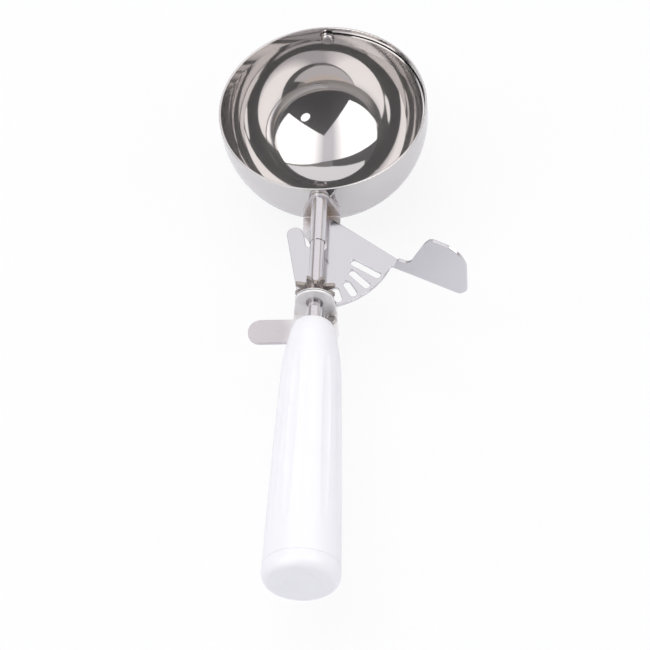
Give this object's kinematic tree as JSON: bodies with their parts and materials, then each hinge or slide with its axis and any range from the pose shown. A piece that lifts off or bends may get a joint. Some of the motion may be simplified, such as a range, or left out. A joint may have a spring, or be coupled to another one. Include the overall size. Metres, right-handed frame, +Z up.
{
  "type": "lever ice cream scoop",
  "caption": "Thumb-lever ice cream scoop: half-round steel bowl with a sweeping scraper, slotted sector lever driving a star pinion, and a white plastic handle.",
  "frame": {"origin": "centre of the bowl's rim, on the plane of the rim", "axes": "+Z up out of the bowl, square to its rim; +Y from the handle towards the bowl's far wall, along the scraper shaft; +X towards the thumb paddle"},
  "size_m": [0.0936, 0.2402, 0.058],
  "materials": {
    "bowl_steel": "mirror polished stainless steel",
    "sheet_steel": "polished stainless sheet",
    "turned_steel": "polished stainless bar",
    "spring_steel": "drawn stainless wire",
    "handle_plastic": "moulded white, semi-gloss",
    "cap_plastic": "moulded white, semi-gloss"
  },
  "bodies": {
    "scoop_body": {"bowl": "bowl_steel", "bowl_pivot_rivet": "turned_steel", "shaft_sleeve": "turned_steel", "frame": "sheet_steel", "tang_bracket": "sheet_steel", "bracket_rivets": "turned_steel", "lever_pivot_rivet": "turned_steel", "lever_spacer": "turned_steel", "return_spring": "spring_steel", "handle_tang": "turned_steel", "handle_grip": "handle_plastic", "handle_cap": "cap_plastic", "tang_washer": "turned_steel", "tang_nut": "turned_steel"},
    "lever": {"lever": "sheet_steel"},
    "scraper": {"scraper_blade": "bowl_steel", "scraper_shaft": "turned_steel", "pinion": "sheet_steel", "pinion_hub": "turned_steel", "shaft_retaining_ring": "spring_steel"}
  },
  "joints": [
    {"name": "lever_swing", "type": "hinge", "parent": "scoop_body", "child": "lever", "pos_m": [0, -0.0552, -0.0116], "axis": [0, 0, -1], "range_deg": [0, 49.5], "stiffness_Nm_per_rad": 0.3, "springref_deg": -28.65, "deforming": ["return_spring"]},
    {"name": "scraper_sweep", "type": "hinge", "parent": "scoop_body", "child": "scraper", "pos_m": [0, 0, -0.005], "axis": [0, 1, 0], "range_deg": [0, 171.5]}
  ],
  "couplings": [
    {"joint": "scraper_sweep", "follows": "lever_swing", "ratio": 3.4615}
  ]
}
